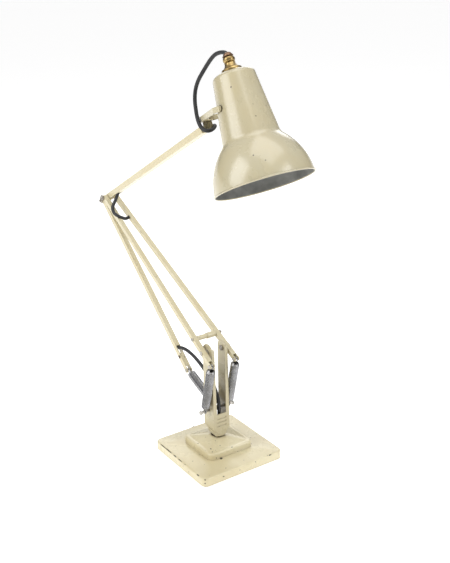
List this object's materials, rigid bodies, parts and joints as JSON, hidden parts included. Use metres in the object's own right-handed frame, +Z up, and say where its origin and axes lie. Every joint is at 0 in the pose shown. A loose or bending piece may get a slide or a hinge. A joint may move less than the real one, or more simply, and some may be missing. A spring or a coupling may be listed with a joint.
{
  "type": "balanced arm desk lamp",
  "caption": "Desk lamp with a tapered bell shade on a swivelling yoke, carried by a jointed arm that springs balance over a stepped square base.",
  "frame": {"origin": "on the table, under the spindle that the fork turns on", "axes": "+X the way the shade reaches, Y along the arm's pivots, +Z up"},
  "size_m": [0.5672, 0.1524, 0.6597],
  "materials": {
    "cream_paint": "gloss",
    "bright_steel": "bright",
    "plated_steel": "worn",
    "khaki_fitting": "satin",
    "brass": "aged",
    "black_rubber": "satin",
    "dark_plastic": "gloss",
    "felt": "matt"
  },
  "bodies": {
    "base": {"base_casting": "cream_paint", "base_pad": "felt", "outlet_grommet": "black_rubber", "thrust_washer": "brass"},
    "fork": {"fork": "cream_paint", "spindle": "plated_steel", "spring_washer": "plated_steel", "spindle_nut": "plated_steel", "anchor_pin": "plated_steel", "pivot_bolts": "plated_steel", "pivot_nuts": "plated_steel", "pivot_spacers": "plated_steel", "lower_cord": "black_rubber"},
    "lower_arm": {"lower_bar_front": "cream_paint", "lower_bar_rear": "cream_paint", "cross_tube": "cream_paint", "cross_bolt": "plated_steel", "tail_pins": "plated_steel", "elbow_bolt": "plated_steel", "elbow_cord": "black_rubber"},
    "upper_arm": {"upper_arm": "cream_paint", "tail_bolt": "plated_steel", "arm_end_knuckle": "khaki_fitting", "swivel_screw": "plated_steel", "arm_cord": "black_rubber", "head_cord": "black_rubber"},
    "tie_bar": {"tie_bar": "cream_paint", "hook_pin": "plated_steel", "tie_bar_rivet": "plated_steel", "tie_bar_cord": "black_rubber"},
    "middle_spring_top": {"middle_upper_hook": "bright_steel"},
    "middle_spring_waist": {"middle_spring_upper": "bright_steel"},
    "middle_spring_foot": {"middle_spring_lower": "bright_steel", "middle_lower_hook": "bright_steel"},
    "side_springs": {"spring_front": "bright_steel", "spring_rear": "bright_steel", "spring_lower_hooks": "bright_steel"},
    "side_spring_tops": {"spring_upper_hooks": "bright_steel"},
    "yoke": {"yoke": "cream_paint"},
    "shade": {"shade": "cream_paint", "shade_screws": "plated_steel", "shade_washers": "plated_steel", "lampholder_cap": "brass", "cord_grip": "dark_plastic", "lampholder_body": "brass", "contact_block": "dark_plastic", "contact_plungers": "brass", "shade_ring": "brass"}
  },
  "joints": [
    {"name": "base_swivel", "type": "hinge", "parent": "base", "child": "fork", "pos_m": [0, 0, 0.0387], "axis": [0, 0, 1], "range_deg": [-170, 170]},
    {"name": "lower_pivot", "type": "hinge", "parent": "fork", "child": "lower_arm", "pos_m": [0, 0, 0.1895], "axis": [0, 1, 0], "range_deg": [-10, 45], "deforming": ["lower_cord"]},
    {"name": "elbow", "type": "hinge", "parent": "lower_arm", "child": "upper_arm", "pos_m": [-0.33562, 0, 0.36984], "axis": [0, 1, 0], "range_deg": [-45, 20], "deforming": ["elbow_cord"]},
    {"name": "tie_swing", "type": "hinge", "parent": "upper_arm", "child": "tie_bar", "pos_m": [-0.3582, 0, 0.35798], "axis": [0, 1, 0], "range_deg": [-19.6, 43.9]},
    {"name": "middle_spring_swing", "type": "hinge", "parent": "tie_bar", "child": "middle_spring_top", "pos_m": [-0.0852, 0, 0.12025], "axis": [0, 1, 0], "range_deg": [-20.8, 4.7], "deforming": ["middle_upper_hook"]},
    {"name": "middle_spring_stretch", "type": "slide", "parent": "middle_spring_top", "child": "middle_spring_waist", "axis": [0.9256, 0, -0.3786], "range_m": [-0.0155, 0.0692], "deforming": ["middle_spring_upper"]},
    {"name": "middle_spring_follow", "type": "slide", "parent": "middle_spring_waist", "child": "middle_spring_foot", "axis": [0.9256, 0, -0.3786], "range_m": [-0.02, 0.0089], "deforming": ["middle_spring_lower", "middle_lower_hook"]},
    {"name": "side_spring_swing", "type": "hinge", "parent": "fork", "child": "side_springs", "pos_m": [0, 0, 0.0854], "axis": [0, 1, 0], "range_deg": [-8.3, 1.9], "deforming": ["spring_front", "spring_rear", "spring_lower_hooks"]},
    {"name": "side_spring_stretch", "type": "slide", "parent": "side_springs", "child": "side_spring_tops", "axis": [0.262, 0, 0.9651], "range_m": [-0.0175, 0.0039], "deforming": ["spring_upper_hooks"]},
    {"name": "yoke_swivel", "type": "hinge", "parent": "upper_arm", "child": "yoke", "pos_m": [-0.00279, 0, 0.55768], "axis": [-0.3223, 0, 0.9466], "range_deg": [-80, 80], "deforming": ["head_cord"]},
    {"name": "shade_tilt", "type": "hinge", "parent": "yoke", "child": "shade", "pos_m": [0.08809, 0, 0.58861], "axis": [0, 1, 0], "range_deg": [-55, 35]}
  ],
  "couplings": [
    {"joint": "tie_swing", "follows": "elbow", "ratio": -0.975},
    {"joint": "middle_spring_swing", "follows": "lower_pivot", "ratio": -0.456},
    {"joint": "middle_spring_stretch", "follows": "lower_pivot", "m_per_rad": 0.08787},
    {"joint": "middle_spring_follow", "follows": "elbow", "m_per_rad": 0.02533},
    {"joint": "side_spring_swing", "follows": "lower_pivot", "ratio": -0.182},
    {"joint": "side_spring_stretch", "follows": "lower_pivot", "m_per_rad": -0.02205}
  ]
}
